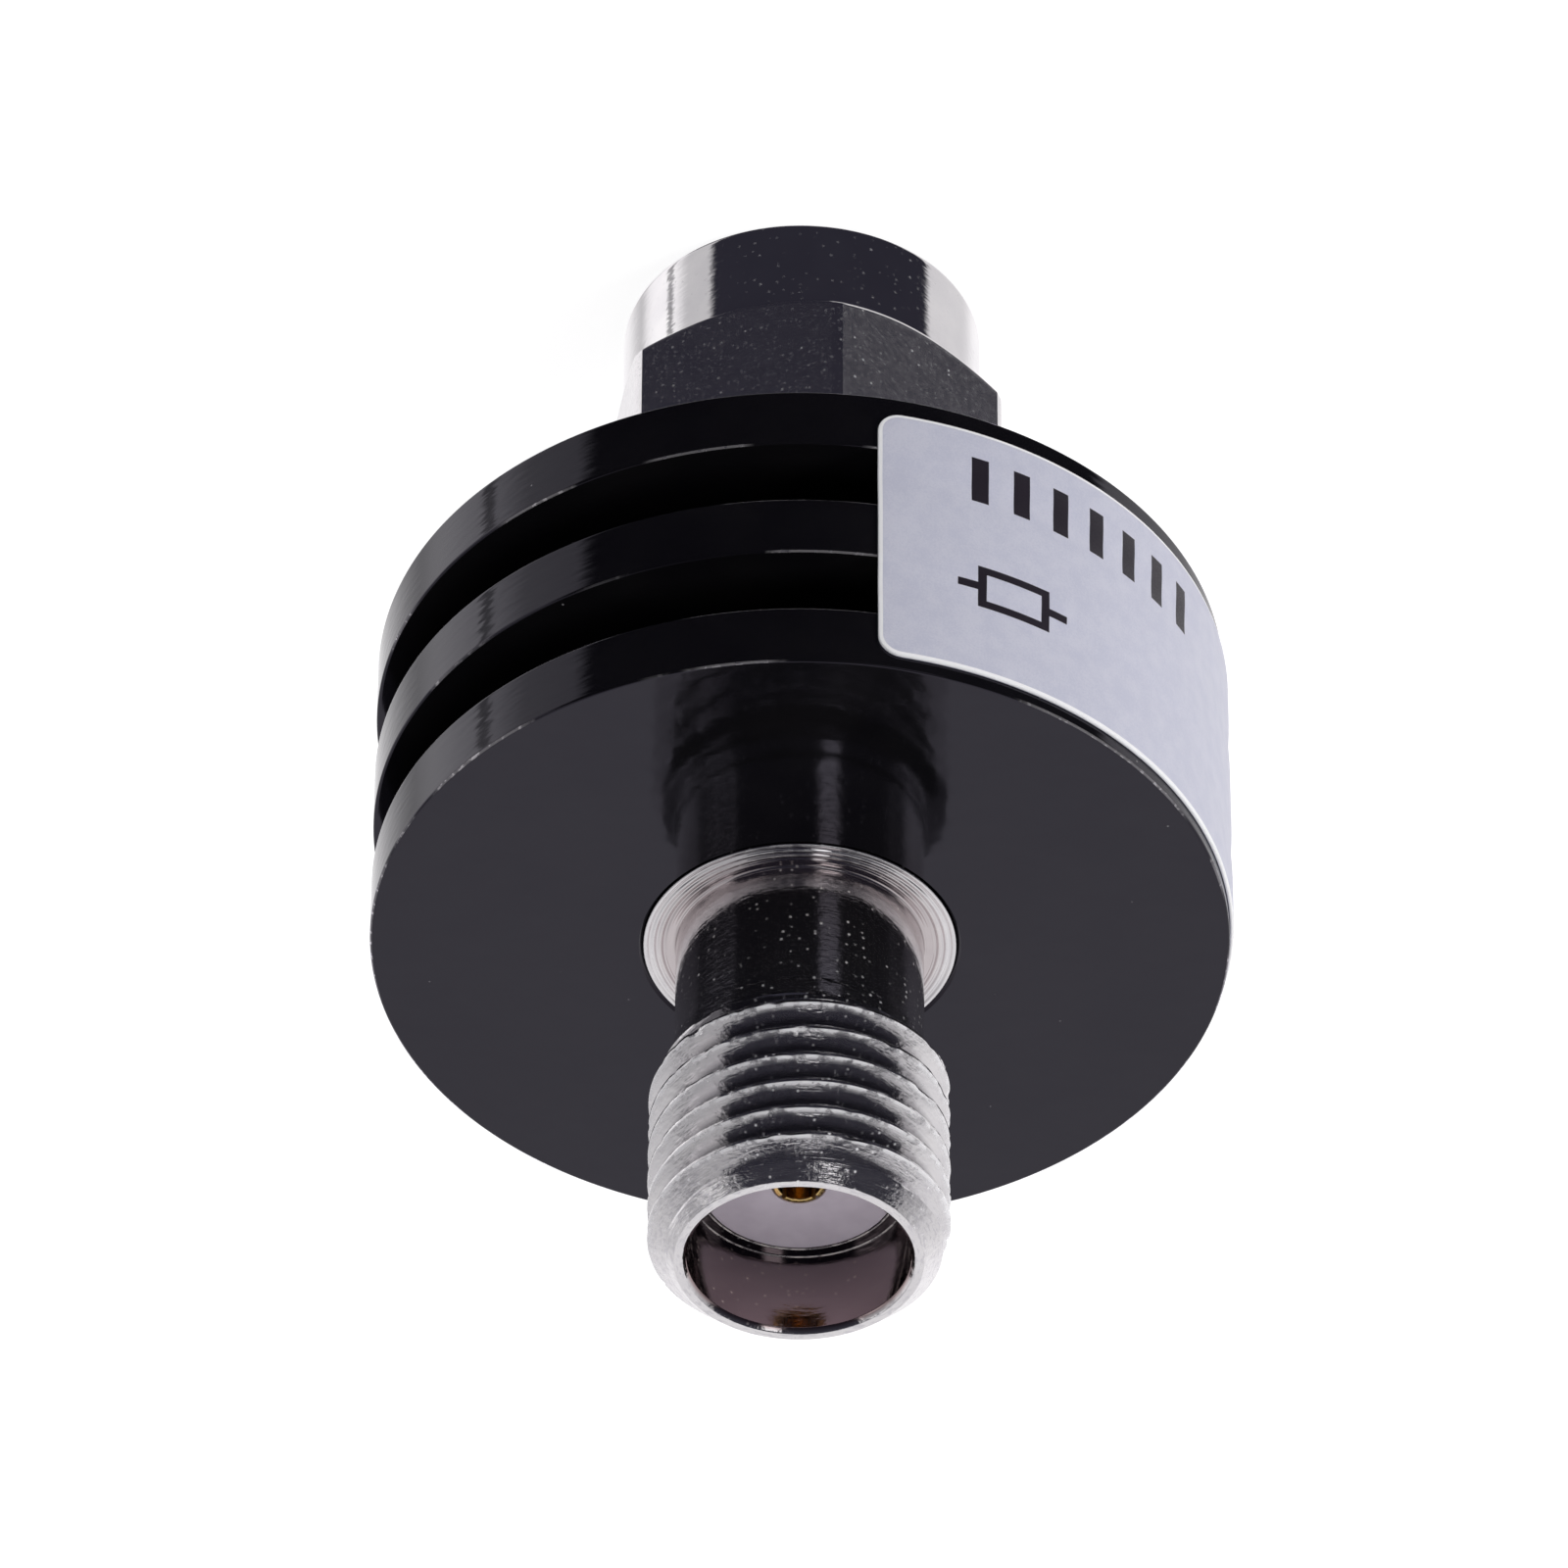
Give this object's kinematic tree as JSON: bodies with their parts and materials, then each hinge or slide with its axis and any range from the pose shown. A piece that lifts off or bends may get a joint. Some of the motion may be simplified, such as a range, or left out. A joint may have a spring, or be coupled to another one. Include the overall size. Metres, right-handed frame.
{
  "type": "coaxial rf attenuator",
  "caption": "Fixed coaxial attenuator: round black finned heat sink with a threaded jack on one end and a plug with a free-turning hexagonal coupling nut on the other, and a silver label.",
  "frame": {"origin": "centre of the end face of the coupling nut, on the surface that the part stands on", "axes": "+Z along the coaxial line towards the mouth of the jack; +X and +Y across it, with the label centred at about 201 degrees from +X"},
  "size_m": [0.0181, 0.018, 0.0257],
  "materials": {
    "black_anodised": "satin black anodised turned aluminium",
    "silver_film": "matte silver polyester film with dark print shapes",
    "nickel": "bright nickel plate on turned brass",
    "gold": "gold plate",
    "ptfe": "white fluoropolymer",
    "alumina": "fired alumina",
    "plain_brass": "turned brass",
    "silicone": "red-brown silicone",
    "spring_bronze": "spring bronze"
  },
  "bodies": {
    "attenuator": {"heat_sink": "black_anodised", "label": "silver_film", "jack_shell": "nickel", "jack_insulator": "ptfe", "jack_contact": "gold", "attenuator_chip": "alumina", "clamp_half_front": "plain_brass", "clamp_half_rear": "plain_brass", "plug_shell": "nickel", "plug_insulator": "ptfe", "plug_pin": "gold", "gasket": "silicone"},
    "ring": {"retaining_ring": "spring_bronze"},
    "nut": {"coupling_nut": "nickel"}
  },
  "joints": [
    {"name": "nut_float", "type": "slide", "parent": "attenuator", "child": "ring", "axis": [0, 0, 1], "range_m": [-0.0003, 0]},
    {"name": "nut_spin", "type": "hinge", "parent": "ring", "child": "nut", "pos_m": [0, 0, 0.004], "axis": [0, 0, 1], "continuous": true}
  ]
}
